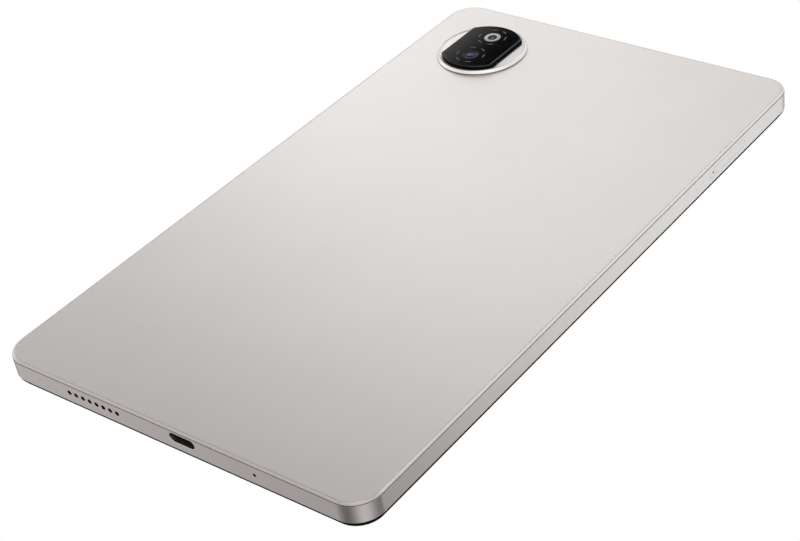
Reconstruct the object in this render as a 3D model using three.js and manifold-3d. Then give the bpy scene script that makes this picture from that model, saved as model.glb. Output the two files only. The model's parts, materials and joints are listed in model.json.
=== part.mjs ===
// Tablet computer, stored screen down: back up (+Z), port end towards -Y,
// card tray in the +X side, side keys in the -X side, camera by the -X +Y corner.
// Millimetres. The origin is the middle of the screen glass's outer face, z = 0.
import * as THREE from 'three';
import { mergeVertices } from 'three/addons/utils/BufferGeometryUtils.js';
import Module from 'manifold-3d';

const wasm = await Module();
wasm.setup();

// ---------------------------------------------------------------- driving dimensions
const BODY_W = 124.8;          // across, X
const BODY_L = 211.8;          // along, Y
const BODY_T = 8.0;            // glass face to flat back
const CORNER_R = 8.0;
const BEVEL_W = 1.05;          // back edge bevel, across
const BEVEL_H = 0.45;          // back edge bevel, down
const METAL_LOW = 1.65;        // lower edge of the metal side
const WALL = 1.6;              // side wall
const BACK_T = 0.8;            // back wall
const ROOF = BODY_T - BACK_T;  // inner face of the back wall

const GLASS_T = 1.1;
const GLASS_INSET = 0.9;
const GLASS_EDGE_W = 0.4;      // rounded glass edge, across
const GLASS_EDGE_H = 0.4;      // rounded glass edge, up
const RIM_INSET = 0.35;        // plastic rim under the metal side
const RIM_INNER = 3.4;

const HOLE_R = 0.65;           // speaker holes
const HOLE_PITCH = 2.504;
const HOLE_N = 8;
const SPK_X0 = -36.23;         // first speaker hole, port end
const SPK_Z = 5.0;
const MIC_X = 28.47;           // microphone hole, port end
const MIC_Z = 4.74;
const MIC_R = 0.4;
const TOP_SPK_X0 = 18.7;       // first speaker hole, camera end
const TOP_MIC_X = -6.0;

const USB_X = 4.3;
const USB_Z = 5.46;
const USB_W = 8.6;             // opening in the housing
const USB_H = 2.7;
const USB_WALL = 0.3;

const TRAY_Y = 64.95;          // middle of the card tray's front
const TRAY_LEN = 20.5;
const TRAY_H = 2.5;
const TRAY_Z = 4.75;
const TRAY_GAP = 0.12;
const EJECT_Y = 56.8;          // eject hole, and the rod behind it
const EJECT_R = 0.4;

const KEY_Z = 4.75;
const KEY_H = 2.1;
const KEY_PROUD = 0.45;
const KEY_GAP = 0.15;
const POWER_Y = 38.0;
const POWER_LEN = 10.0;
const VOL_Y = 62.0;
const VOL_LEN = 19.6;

const CAM_X = -37.5;           // middle of the camera ring
const CAM_Y = 81.2;
const RING_R = 14.8;
const RING_TOP_R = 14.2;
const RING_H = 1.1;            // above the back
const PLATE_R = 13.2;          // camera plate: a disc with two straight sides
const PLATE_HALF = 9.8;
const PLATE_TOP = 2.1;         // above the back
const LENS_Y = 75.1;
const FLASH_Y = 87.3;

// ---------------------------------------------------------------- helpers
const group = new THREE.Group();

const PAINT = {
  metal: new THREE.MeshStandardMaterial({ color: 0xc9c5c1, metalness: 0.9, roughness: 0.38 }),
  polished: new THREE.MeshStandardMaterial({ color: 0xd9d6d2, metalness: 1.0, roughness: 0.2 }),
  blackPlastic: new THREE.MeshStandardMaterial({ color: 0x0d0d0f, metalness: 0.0, roughness: 0.5 }),
  blackGlass: new THREE.MeshStandardMaterial({ color: 0x050507, metalness: 0.0, roughness: 0.05 }),
  glass: new THREE.MeshStandardMaterial({ color: 0x10131c, metalness: 0.0, roughness: 0.05 }),
  lens: new THREE.MeshStandardMaterial({ color: 0x1a2450, metalness: 0.0, roughness: 0.03 }),
  flash: new THREE.MeshStandardMaterial({ color: 0xe8e4d4, metalness: 0.0, roughness: 0.25 }),
  steel: new THREE.MeshStandardMaterial({ color: 0xa8a8aa, metalness: 1.0, roughness: 0.35 }),
  board: new THREE.MeshStandardMaterial({ color: 0x1c4a34, metalness: 0.1, roughness: 0.5 }),
  flex: new THREE.MeshStandardMaterial({ color: 0x9a6a2a, metalness: 0.0, roughness: 0.45 }),
  cell: new THREE.MeshStandardMaterial({ color: 0x2a2b2e, metalness: 0.1, roughness: 0.55 }),
  white: new THREE.MeshStandardMaterial({ color: 0xdedede, metalness: 0.0, roughness: 0.5 }),
  chip: new THREE.MeshStandardMaterial({ color: 0x18181a, metalness: 0.0, roughness: 0.6 }),
  mesh: new THREE.MeshStandardMaterial({ color: 0x1b1b1c, metalness: 0.0, roughness: 0.85 }),
};

function add(name, geometry, material) {
  const clean = geometry.index ? geometry : mergeVertices(bare(geometry), 1e-4);
  clean.computeVertexNormals();
  const m = new THREE.Mesh(clean, material);
  m.name = name;
  group.add(m);
  return m;
}

function bare(geometry) {
  const g = geometry.clone();
  for (const a of Object.keys(g.attributes)) if (a !== 'position') g.deleteAttribute(a);
  return g;
}

function solid(geometry) {
  const g = mergeVertices(bare(geometry), 1e-4);
  return new wasm.Manifold(new wasm.Mesh({
    numProp: 3,
    vertProperties: new Float32Array(g.attributes.position.array),
    triVerts: new Uint32Array(g.index.array),
  }));
}

function shell(man) {
  const m = man.getMesh();
  const g = new THREE.BufferGeometry();
  g.setAttribute('position', new THREE.BufferAttribute(new Float32Array(m.vertProperties), 3));
  g.setIndex(new THREE.BufferAttribute(new Uint32Array(m.triVerts), 1));
  return g;
}

const cut = (a, ...bs) => bs.reduce((m, b) => m.subtract(b), a);
const join = (a, ...bs) => bs.reduce((m, b) => m.add(b), a);

// rounded rectangle about (cx, cy)
function rrect(w, l, r, cx = 0, cy = 0, seg = 6) {
  const p = [];
  const q = [[w / 2 - r, l / 2 - r, 0], [-w / 2 + r, l / 2 - r, 90], [-w / 2 + r, -l / 2 + r, 180], [w / 2 - r, -l / 2 + r, 270]];
  for (const [x, y, a0] of q) {
    for (let i = 0; i <= seg; i++) {
      const a = THREE.MathUtils.degToRad(a0 + (90 * i) / seg);
      p.push(new THREE.Vector2(cx + x + r * Math.cos(a), cy + y + r * Math.sin(a)));
    }
  }
  return p;
}
const pill = (w, h, cx, cy, seg = 6) => {
  const r = Math.min(w, h) / 2 - 1e-3;
  return rrect(w, h, r, cx, cy, seg);
};
function disc(r, cx = 0, cy = 0, n = 24) {
  const p = [];
  for (let i = 0; i < n; i++) {
    const a = (2 * Math.PI * (i + 0.5)) / n;
    p.push(new THREE.Vector2(cx + r * Math.cos(a), cy + r * Math.sin(a)));
  }
  return p;
}
const rect = (x0, y0, x1, y1) => [
  new THREE.Vector2(x0, y0), new THREE.Vector2(x1, y0), new THREE.Vector2(x1, y1), new THREE.Vector2(x0, y1)];
const poly = (...xy) => xy.map(([x, y]) => new THREE.Vector2(x, y));

// disc of radius r with two straight sides at x = cx +- half
function clippedDisc(r, half, cx, cy, n = 10) {
  const a1 = Math.acos(half / r);
  const p = [];
  for (const s of [0, 1]) {
    for (let i = 0; i <= n; i++) {
      const a = a1 + ((Math.PI - 2 * a1) * i) / n + s * Math.PI;
      p.push(new THREE.Vector2(cx + r * Math.cos(a), cy + r * Math.sin(a)));
    }
  }
  return p;
}

function prism(points, z0, z1, holes = []) {
  const s = new THREE.Shape(points);
  for (const h of holes) s.holes.push(new THREE.Path(h));
  const g = new THREE.ExtrudeGeometry(s, { depth: z1 - z0, bevelEnabled: false, steps: 1 });
  g.translate(0, 0, z0);
  return g;
}
// prism with its ends drawn in by w over a height h
function bevelled(points, z0, z1, w, h, n = 1) {
  const g = new THREE.ExtrudeGeometry(new THREE.Shape(points), {
    depth: z1 - z0 - 2 * h, steps: 1, bevelEnabled: true, bevelThickness: h, bevelSize: w, bevelOffset: -w, bevelSegments: n,
  });
  g.translate(0, 0, z0 + h);
  return g;
}
// section in (x, z), running along y
function alongY(points, y0, y1, holes = []) {
  const g = prism(points, -y1, -y0, holes);
  g.rotateX(Math.PI / 2);
  return g;
}
// section in (y, z), running along x
function alongX(points, x0, x1, holes = []) {
  const g = prism(points, x0, x1, holes);
  g.applyMatrix4(new THREE.Matrix4().makeBasis(new THREE.Vector3(0, 1, 0), new THREE.Vector3(0, 0, 1), new THREE.Vector3(1, 0, 0)));
  return g;
}
const block = (x0, y0, z0, x1, y1, z1) => prism(rect(x0, y0, x1, y1), z0, z1);
function turned(profile, x, y, n = 20) {
  const g = new THREE.LatheGeometry(profile.map(([r, z]) => new THREE.Vector2(r, z)), n);
  g.rotateX(Math.PI / 2);
  g.translate(x, y, 0);
  return g;
}
// thin strip of constant thickness t following points (y, z), from x0 to x1
function strip(path, t, x0, x1) {
  const up = [], down = [];
  for (let i = 0; i < path.length; i++) {
    const a = path[Math.max(i - 1, 0)], b = path[Math.min(i + 1, path.length - 1)];
    const d = Math.hypot(b[0] - a[0], b[1] - a[1]);
    const n = [-(b[1] - a[1]) / d, (b[0] - a[0]) / d];
    up.push(new THREE.Vector2(path[i][0] + (n[0] * t) / 2, path[i][1] + (n[1] * t) / 2));
    down.push(new THREE.Vector2(path[i][0] - (n[0] * t) / 2, path[i][1] - (n[1] * t) / 2));
  }
  return alongX([...up, ...down.reverse()], x0, x1);
}

// ---------------------------------------------------------------- housing
const SCREWS = [
  ['board_screw_1', -50.5, 54.0], ['board_screw_2', -50.5, 96.5], ['board_screw_3', 6.0, 96.5], ['board_screw_4', 54.5, 86.5],
  ['board_screw_5', 26.0, 53.5],
];
const PORT_SCREWS = [['port_screw_1', -5.2, -100.8], ['port_screw_2', 13.8, -100.8]];

let housing = solid(bevelled(rrect(BODY_W, BODY_L, CORNER_R, 0, 0, 7), -4, BODY_T, BEVEL_W, BEVEL_H));
housing = housing.intersect(solid(block(-80, -120, METAL_LOW, 80, 120, 12)));
housing = cut(housing, solid(prism(rrect(BODY_W - 2 * WALL, BODY_L - 2 * WALL, CORNER_R - WALL, 0, 0, 5), -2, ROOF)));
for (const [, x, y] of SCREWS) housing = join(housing, solid(prism(disc(2.2, x, y, 14), 6.98, ROOF + 0.3)));
for (const [, x, y] of PORT_SCREWS) housing = join(housing, solid(prism(disc(1.9, x, y, 14), 3.9, ROOF + 0.3)));
for (const [, x, y] of [...SCREWS, ...PORT_SCREWS]) housing = cut(housing, solid(prism(disc(0.85, x, y, 12), 3.0, ROOF + 0.25)));
for (let i = 0; i < HOLE_N; i++) {
  housing = cut(
    housing,
    solid(alongY(disc(HOLE_R, SPK_X0 + i * HOLE_PITCH, SPK_Z, 10), -BODY_L / 2 - 1, -BODY_L / 2 + 3)),
    solid(alongY(disc(HOLE_R, TOP_SPK_X0 + i * HOLE_PITCH, SPK_Z, 10), BODY_L / 2 - 3, BODY_L / 2 + 1)),
  );
}
housing = cut(
  housing,
  solid(alongY(disc(MIC_R, MIC_X, MIC_Z, 8), -BODY_L / 2 - 1, -BODY_L / 2 + 3)),
  solid(alongY(disc(MIC_R, TOP_MIC_X, MIC_Z, 8), BODY_L / 2 - 3, BODY_L / 2 + 1)),
  solid(alongY(pill(USB_W, USB_H, USB_X, USB_Z, 5), -BODY_L / 2 - 1, -BODY_L / 2 + 3)),
  solid(alongX(pill(TRAY_LEN, TRAY_H, TRAY_Y, TRAY_Z, 5), BODY_W / 2 - 3, BODY_W / 2 + 1)),
  solid(alongX(pill(POWER_LEN, KEY_H + 2 * KEY_GAP, POWER_Y, KEY_Z, 4), -BODY_W / 2 - 1, -BODY_W / 2 + 3)),
  solid(alongX(pill(VOL_LEN + 0.4, KEY_H + 2 * KEY_GAP, VOL_Y, KEY_Z, 4), -BODY_W / 2 - 1, -BODY_W / 2 + 3)),
  solid(prism(disc(12.6, CAM_X, CAM_Y, 28), ROOF - 1, BODY_T + 1)),
);
add('rear_housing', shell(housing), PAINT.metal);

// ---------------------------------------------------------------- display stack, lowest first
const glassOutline = rrect(BODY_W - 2 * GLASS_INSET, BODY_L - 2 * GLASS_INSET, CORNER_R - GLASS_INSET, 0, 0, 7);
let glass = solid(bevelled(glassOutline, 0, 4, GLASS_EDGE_W, GLASS_EDGE_H, 3));
glass = glass.intersect(solid(block(-80, -120, -1, 80, 120, GLASS_T)));
add('cover_glass', shell(glass), PAINT.blackGlass);

const rimWall = 1.65 + 0.95;
let rim = solid(prism(rrect(BODY_W - 2 * RIM_INSET, BODY_L - 2 * RIM_INSET, CORNER_R - RIM_INSET, 0, 0, 7), GLASS_T + 0.01, METAL_LOW - 0.01));
rim = join(rim, solid(prism(rrect(BODY_W - 3.8, BODY_L - 3.8, CORNER_R - 1.9, 0, 0, 7), METAL_LOW - 0.2, rimWall)));
rim = cut(rim, solid(prism(rrect(BODY_W - 2 * RIM_INNER, BODY_L - 2 * RIM_INNER, CORNER_R - RIM_INNER, 0, 0, 5), 0, 5)));
add('display_frame', shell(rim), PAINT.blackPlastic);

add('lcd_panel', prism(rrect(116.4, 192, 1, 0, 0, 1), GLASS_T + 0.04, 1.95), PAINT.blackGlass);
add('backlight_unit', prism(rrect(116.8, 193, 1, 0, 0, 1), 1.98, 2.78), PAINT.white);
add('display_plate', prism(rrect(117.2, 194, 1.2, 0, 0, 2), 2.8, 3.05), PAINT.steel);

// ---------------------------------------------------------------- camera group
let ring = solid(bevelled(disc(RING_R, CAM_X, CAM_Y, 40), 6, BODY_T + RING_H, RING_R - RING_TOP_R, 0.75));
ring = ring.intersect(solid(prism(disc(RING_R + 2, CAM_X, CAM_Y, 12), BODY_T + 0.01, 12)));
ring = join(ring, solid(prism(disc(12.3, CAM_X, CAM_Y, 28), ROOF + 0.05, BODY_T + 0.3)));
ring = cut(
  ring,
  solid(prism(clippedDisc(PLATE_R + 0.06, PLATE_HALF + 0.06, CAM_X, CAM_Y), BODY_T + 0.3, 12)),
  solid(prism(disc(4.4, CAM_X, LENS_Y, 20), 5, 12)),
  solid(prism(disc(3.1, CAM_X, FLASH_Y, 18), 5, 12)),
);
add('camera_ring', shell(ring), PAINT.polished);

const plateTop = BODY_T + PLATE_TOP;
const bezel = cut(
  solid(prism(clippedDisc(PLATE_R, PLATE_HALF, CAM_X, CAM_Y), BODY_T + 0.32, plateTop - 0.52)),
  solid(prism(disc(3.7, CAM_X, LENS_Y, 20), 5, 12)),
  solid(prism(disc(3.0, CAM_X, FLASH_Y, 18), 5, 12)),
);
add('camera_bezel', shell(bezel), PAINT.blackPlastic);
let window = solid(bevelled(clippedDisc(PLATE_R, PLATE_HALF, CAM_X, CAM_Y), plateTop - 3, plateTop, 0.2, 0.2));
window = window.intersect(solid(prism(disc(20, CAM_X, CAM_Y, 8), plateTop - 0.5, 14)));
add('camera_glass', shell(window), PAINT.blackGlass);

const cameraBody = cut(
  solid(block(CAM_X - 4.6, LENS_Y - 4.6, 3.3, CAM_X + 4.6, LENS_Y + 4.6, 7.0)),
  solid(prism(disc(3.35, CAM_X, LENS_Y, 20), 4.4, 9)),
);
add('rear_camera_body', shell(cameraBody), PAINT.chip);
add('camera_sensor', block(CAM_X - 2.0, LENS_Y - 2.0, 4.42, CAM_X + 2.0, LENS_Y + 2.0, 4.75), PAINT.chip);
// the focusing barrel carries the front lens and slides along Z
add('lens_barrel', turned([[1.9, 5.1], [3.2, 5.1], [3.2, 7.7], [2.6, 8.9], [2.0, 8.9], [1.9, 8.6], [1.9, 5.1]], CAM_X, LENS_Y, 20), PAINT.blackPlastic);
add('lens_element', turned([[0, 7.6], [1.85, 7.6], [1.85, 8.2], [1.5, 8.5], [1.0, 8.68], [0.5, 8.77], [0, 8.8]], CAM_X, LENS_Y, 16), PAINT.lens);
add('flash_led', block(CAM_X - 1.3, FLASH_Y - 1.3, 7.3, CAM_X + 1.3, FLASH_Y + 1.3, 8.2), PAINT.flash);
add('flash_lens', turned([[0, 8.5], [2.6, 8.5], [2.75, 9.1], [2.75, 9.45], [1.6, 9.35], [0.9, 9.1], [0, 9.0]], CAM_X, FLASH_Y, 18), PAINT.flash);

// ---------------------------------------------------------------- mainboard and what it carries
let board = solid(prism(poly([-54.6, 50], [58.2, 50], [58.2, 90], [11.5, 90], [11.5, 100.5], [-54.6, 100.5]), 6.16, 6.96));
board = cut(
  board,
  solid(block(CAM_X - 5.0, LENS_Y - 5.0, 5, CAM_X + 5.0, LENS_Y + 5.0, 8)),
  ...SCREWS.map(([, x, y]) => solid(prism(disc(0.95, x, y, 12), 5, 8))),
);
add('mainboard', shell(board), PAINT.board);
for (const [name, x, y] of SCREWS) {
  add(name, turned([[0, 5.6], [1.2, 5.6], [1.6, 5.8], [1.6, 6.13], [0.7, 6.13], [0.7, 7.35], [0, 7.4]], x, y, 12), PAINT.steel);
}
function can(x0, y0, x1, y1, z0, z1) {
  return shell(cut(solid(block(x0, y0, z0, x1, y1, z1)), solid(block(x0 + 0.25, y0 + 0.25, z0 + 0.25, x1 - 0.25, y1 - 0.25, z1 + 1))));
}
add('processor_shield', can(-27, 58, 3, 92, 4.35, 6.12), PAINT.steel);
add('processor', block(-20, 72, 4.9, -6, 86, 6.12), PAINT.chip);
add('memory_chip', block(-19, 60.5, 5.0, -7, 70, 6.12), PAINT.chip);
add('radio_shield', can(14, 70, 36, 88, 4.5, 6.12), PAINT.steel);
add('display_connector', block(9.5, 59, 5.5, 21.5, 62.4, 6.12), PAINT.chip);
add('battery_connector', block(-43, 52, 5.2, -35, 55.6, 6.12), PAINT.chip);

add('display_flex', strip([[22, 3.16], [50, 3.16], [53.4, 3.6], [55.6, 4.8], [57.6, 5.3], [62.4, 5.35]], 0.14, 9.8, 21.2), PAINT.flex);
add('main_flex', strip([[-90, 4.02], [-84.5, 4.0], [-81, 3.5], [44, 3.5], [49, 3.9], [51, 5.2], [52.4, 5.95], [57, 6.03]], 0.14, -5.5, 4.0), PAINT.flex);

// ---------------------------------------------------------------- battery
add('battery_cell_left', bevelled(rrect(52, 98, 2, -27.2, -14, 2), 3.72, 7.1, 0.5, 0.5), PAINT.cell);
add('battery_cell_right', bevelled(rrect(52, 98, 2, 27.2, -14, 2), 3.72, 7.1, 0.5, 0.5), PAINT.cell);
add('battery_protection_board', block(-48, 36.2, 5.3, 48, 40.4, 6.1), PAINT.board);
add('battery_flex', strip([[40.6, 5.9], [47, 5.6], [50.2, 5.0], [55.6, 5.0]], 0.14, -42.5, -35.5), PAINT.flex);

// ---------------------------------------------------------------- port end
const usbMid = -BODY_L / 2 + 1.7;
add('usb_c_shell', shell(cut(
  solid(alongY(pill(USB_W + 2 * USB_WALL - 0.2, USB_H + 2 * USB_WALL - 0.1, USB_X, USB_Z, 5), usbMid, usbMid + 7.4)),
  solid(alongY(pill(USB_W - 0.2, USB_H - 0.1, USB_X, USB_Z, 5), usbMid - 1, usbMid + 9)),
)), PAINT.steel);
add('usb_c_tongue', shell(join(
  solid(block(USB_X - 3.35, usbMid + 0.5, USB_Z - 0.35, USB_X + 3.35, usbMid + 6.5, USB_Z + 0.35)),
  solid(alongY(pill(USB_W - 0.3, USB_H - 0.2, USB_X, USB_Z, 5), usbMid + 5.6, usbMid + 7.35)),
)), PAINT.blackPlastic);
const portBoard = cut(
  solid(prism(rrect(26.5, 17.5, 1, 4.3, -95.15, 2), 3.34, 3.8)),
  ...PORT_SCREWS.map(([, x, y]) => solid(prism(disc(0.95, x, y, 12), 2, 5))),
);
add('port_board', shell(portBoard), PAINT.board);
for (const [name, x, y] of PORT_SCREWS) {
  add(name, turned([[0, 3.08], [1.2, 3.08], [1.5, 3.16], [1.5, 3.31], [0.7, 3.31], [0.7, 7.0], [0, 7.1]], x, y, 12), PAINT.steel);
}
add('port_flex_connector', block(-5.6, -91.6, 3.82, 4.1, -88.4, 3.94), PAINT.chip);

function speakerBox(x0, x1, yFace, s) {
  // s points from the outer wall inwards
  const ya = yFace + s * 0.5, yb = yFace + s * 12;
  const outer = block(x0, Math.min(ya, yb), 3.35, x1, Math.max(ya, yb), 7.0);
  const pa = yFace + s * 0.2, pb = yFace + s * 3.2;
  const port = block(x0 + 2.5, Math.min(pa, pb), 4.1, x1 - 2.5, Math.max(pa, pb), 6.0);
  return shell(cut(solid(outer), solid(port)));
}
const inner = BODY_L / 2 - WALL;
add('speaker_bottom', speakerBox(-41.5, -13.5, -inner, 1), PAINT.blackPlastic);
add('speaker_top', speakerBox(14.0, 41.5, inner, -1), PAINT.blackPlastic);
add('speaker_mesh_bottom', block(-38.0, -inner + 0.06, 3.9, -17.0, -inner + 0.4, 6.1), PAINT.mesh);
add('speaker_mesh_top', block(17.0, inner - 0.4, 3.9, 38.0, inner - 0.06, 6.1), PAINT.mesh);
add('microphone_bottom', block(MIC_X - 1.8, -inner + 0.1, 3.9, MIC_X + 1.8, -inner + 2.9, 5.6), PAINT.steel);
add('microphone_top', block(TOP_MIC_X - 1.8, inner - 2.9, 3.9, TOP_MIC_X + 1.8, inner - 0.1, 5.6), PAINT.steel);
add('antenna_bottom', block(24, -inner + 4.2, 3.3, 52, -inner + 8.6, 4.3), PAINT.flex);
add('antenna_top', block(-30, inner - 2.2, 3.3, -10, inner - 0.2, 4.6), PAINT.flex);

// ---------------------------------------------------------------- front camera, facing the glass
add('front_camera', shell(join(
  solid(block(-2.3, 97.9, 2.3, 2.3, 102.4, 4.9)),
  solid(prism(disc(1.5, 0, 100.2, 16), GLASS_T + 0.06, 2.4)),
)), PAINT.chip);

// ---------------------------------------------------------------- card tray and its eject parts
const side = BODY_W / 2;
const trayFront = solid(alongX(pill(TRAY_LEN - 2 * TRAY_GAP, TRAY_H - 2 * TRAY_GAP, TRAY_Y, TRAY_Z, 5), side - 1.5, side));
const trayPlate = solid(block(47.0, 58.7, 4.3, side - 1.2, 74.5, 5.2));
add('card_tray', shell(cut(
  join(trayFront, trayPlate),
  solid(alongX(disc(EJECT_R, EJECT_Y, TRAY_Z, 10), side - 3, side + 1)),
  solid(block(48.0, 59.3, 4.75, 59.2, 73.9, 6)),
  solid(block(49.5, 61.5, 3, 57.7, 71.7, 6)),
)), PAINT.metal);
const cage = cut(
  join(
    solid(block(47.3, 57.85, 3.3, 60.5, 75.3, 6.1)),
    solid(block(50.5, 55.5, 3.3, 60.4, 58.0, 5.7)),
    solid(block(41.0, 55.5, 3.3, 50.6, 75.3, 3.6)),
  ),
  solid(block(44, 58.25, 3.6, 63, 74.95, 5.8)),
  solid(alongX(disc(0.58, EJECT_Y, TRAY_Z, 12), 44, 63)),
);
add('card_reader', shell(cage), PAINT.steel);
add('eject_rod', alongX(disc(0.5, EJECT_Y, TRAY_Z, 12), 47.0, 60.6), PAINT.steel);
const PIVOT = [45.4, 61.0];
add('eject_lever', shell(cut(
  join(
    solid(prism(poly([46.75, 56.2], [46.75, 57.5], [46.3, 61.6], [44.1, 70.6], [42.8, 70.4], [44.3, 60.4], [45.5, 56.2]), 4.3, 5.1)),
    solid(prism(disc(1.25, PIVOT[0], PIVOT[1], 16), 4.3, 5.1)),
  ),
  solid(prism(disc(0.58, PIVOT[0], PIVOT[1], 16), 3, 7)),
)), PAINT.steel);
add('eject_pivot', turned([[0, 3.62], [0.5, 3.62], [0.5, 5.25], [0.95, 5.25], [0.95, 5.5], [0, 5.5]], PIVOT[0], PIVOT[1], 16), PAINT.steel);

// ---------------------------------------------------------------- side keys
const left = -BODY_W / 2;
const wallIn = left + WALL;
add('power_button', shell(join(
  solid(alongX(pill(POWER_LEN - 2 * KEY_GAP, KEY_H, POWER_Y, KEY_Z, 4), left - KEY_PROUD, wallIn + 0.3)),
  solid(block(wallIn + 0.15, POWER_Y - 6, KEY_Z - 1.5, wallIn + 0.55, POWER_Y + 6, KEY_Z + 1.5)),
  solid(block(wallIn + 0.5, POWER_Y - 0.7, KEY_Z - 0.7, wallIn + 1.15, POWER_Y + 0.7, KEY_Z + 0.7)),
)), PAINT.metal);
add('volume_key', shell(join(
  solid(alongX(pill(VOL_LEN, KEY_H, VOL_Y, KEY_Z, 4), left - KEY_PROUD, wallIn + 0.35)),
  solid(block(wallIn + 0.3, VOL_Y - 4.5, KEY_Z - 1.5, wallIn + 0.65, VOL_Y + 4.5, KEY_Z + 1.5)),
  solid(block(wallIn + 0.3, VOL_Y - 7.2, KEY_Z - 0.7, wallIn + 1.1, VOL_Y - 5.8, KEY_Z + 0.7)),
  solid(block(wallIn + 0.3, VOL_Y + 5.8, KEY_Z - 0.7, wallIn + 1.1, VOL_Y + 7.2, KEY_Z + 0.7)),
)), PAINT.metal);
const dome = (y) => {
  const g = new THREE.LatheGeometry([[0, 0], [1.6, 0], [1.6, 0.06], [1.1, 0.22], [0.5, 0.29], [0, 0.3]].map(([r, z]) => new THREE.Vector2(r, z)), 16);
  g.rotateX(Math.PI / 2);                 // axis along +Z
  g.rotateY(-Math.PI / 2);                // axis along -X, towards the key
  g.translate(wallIn + 1.88, y, KEY_Z);
  return g;
};
add('dome_switch_power', dome(POWER_Y), PAINT.steel);
add('dome_switch_volume_up', dome(VOL_Y + 6.5), PAINT.steel);
add('dome_switch_volume_down', dome(VOL_Y - 6.5), PAINT.steel);
add('side_key_flex', block(wallIn + 1.9, 30, 3.4, wallIn + 2.1, 73, 6.2), PAINT.flex);
add('side_key_bracket', block(wallIn + 2.12, 29, 3.3, wallIn + 2.72, 74, 6.9), PAINT.steel);

export default group;
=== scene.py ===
"""Looks of a tablet computer, lying on its screen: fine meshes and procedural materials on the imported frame."""
import json
import math
import bpy
import bmesh
from mathutils import Matrix, Vector

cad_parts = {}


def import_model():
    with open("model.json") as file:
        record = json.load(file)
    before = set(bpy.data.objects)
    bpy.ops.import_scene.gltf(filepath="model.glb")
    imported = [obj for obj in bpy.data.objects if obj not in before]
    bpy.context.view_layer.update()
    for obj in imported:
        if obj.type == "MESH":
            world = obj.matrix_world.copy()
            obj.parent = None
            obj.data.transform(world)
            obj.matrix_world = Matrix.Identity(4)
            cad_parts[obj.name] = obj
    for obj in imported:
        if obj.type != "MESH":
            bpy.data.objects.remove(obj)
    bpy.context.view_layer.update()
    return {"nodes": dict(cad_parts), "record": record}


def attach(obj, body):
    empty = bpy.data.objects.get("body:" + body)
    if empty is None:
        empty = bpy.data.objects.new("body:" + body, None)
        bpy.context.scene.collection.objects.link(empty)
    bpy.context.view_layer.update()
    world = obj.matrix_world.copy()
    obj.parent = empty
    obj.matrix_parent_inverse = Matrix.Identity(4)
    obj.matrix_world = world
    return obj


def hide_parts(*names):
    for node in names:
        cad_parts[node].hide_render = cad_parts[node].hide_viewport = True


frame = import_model()
NODES = frame["nodes"]


MM = 0.001

# ------------------------------------------------------------------ sizes, millimetres, as in the CAD
BODY_W, BODY_L, BODY_T = 124.8, 211.8, 8.0
CORNER_R = 8.0
BEVEL_W, BEVEL_H = 1.05, 0.45
METAL_LOW, WALL, ROOF = 1.65, 1.6, 7.2
LIP = 1.90                      # the metal's lower edge; the black rim closes the rest
GLASS_T, GLASS_INSET = 1.1, 0.9
RIM_INSET, RIM_INNER = 0.35, 3.4
CAM_X, CAM_Y, LENS_Y, FLASH_Y = -37.5, 81.2, 75.1, 87.3
PLATE_R, PLATE_HALF, PLATE_TOP = 13.2, 9.8, 10.1
USB_X, USB_Z = 4.3, 5.46
TRAY_Y, TRAY_Z, EJECT_Y = 64.95, 4.75, 56.8
KEY_Z, KEY_H, KEY_PROUD = 4.75, 2.1, 0.45
POWER_Y, POWER_LEN, VOL_Y, VOL_LEN = 38.0, 10.0, 62.0, 19.6
SCREWS = [(-50.5, 54.0), (-50.5, 96.5), (6.0, 96.5), (54.5, 86.5), (26.0, 53.5)]
PORT_SCREWS = [(-5.2, -100.8), (13.8, -100.8)]


# ------------------------------------------------------------------ mesh code
def rrect(hx, hy, r, n=24, cx=0.0, cy=0.0):
    """Rounded rectangle, n steps a corner, counter-clockwise."""
    pts = []
    for k, (sx, sy) in enumerate(((1, 1), (-1, 1), (-1, -1), (1, -1))):
        for i in range(n + 1):
            a = math.pi / 2 * (k + i / n)
            pts.append((cx + sx * (hx - r) + r * math.cos(a), cy + sy * (hy - r) + r * math.sin(a)))
    return pts


def pill(w, h, n=12):
    """Slot outline with round ends, w along the first axis."""
    r, c = h / 2, (w - h) / 2
    pts = []
    for s, a0 in ((1, -math.pi / 2), (-1, math.pi / 2)):
        for i in range(n + 1):
            a = a0 + math.pi * i / n
            pts.append((s * c + r * math.cos(a), r * math.sin(a)))
    return pts


def circle(r, n=32):
    return [(r * math.cos(2 * math.pi * i / n), r * math.sin(2 * math.pi * i / n)) for i in range(n)]


def plate_outline(inset=0.0, n=288, soft=110.0):
    """Disc with two straight sides, its four corners eased."""
    R, h = PLATE_R - inset, PLATE_HALF - inset
    pts = []
    for i in range(n):
        a = 2 * math.pi * (i + 0.5) / n
        straight = h / max(abs(math.cos(a)), 1e-6)
        r = (R ** -soft + straight ** -soft) ** (-1 / soft)
        pts.append((r * math.cos(a), r * math.sin(a)))
    return pts


def at_z(pts, z, cx=0.0, cy=0.0):
    return [(x + cx, y + cy, z) for x, y in pts]


def at_y(pts, y, cx=0.0, cz=0.0):
    return [(x + cx, y, z + cz) for x, z in pts]


def at_x(pts, x, cy=0.0, cz=0.0):
    return [(x, y + cy, z + cz) for y, z in pts]


SLOTS = [bpy.data.materials.new("slot_%d" % i) for i in range(3)]   # stand-ins until a piece gets its finish


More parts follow.
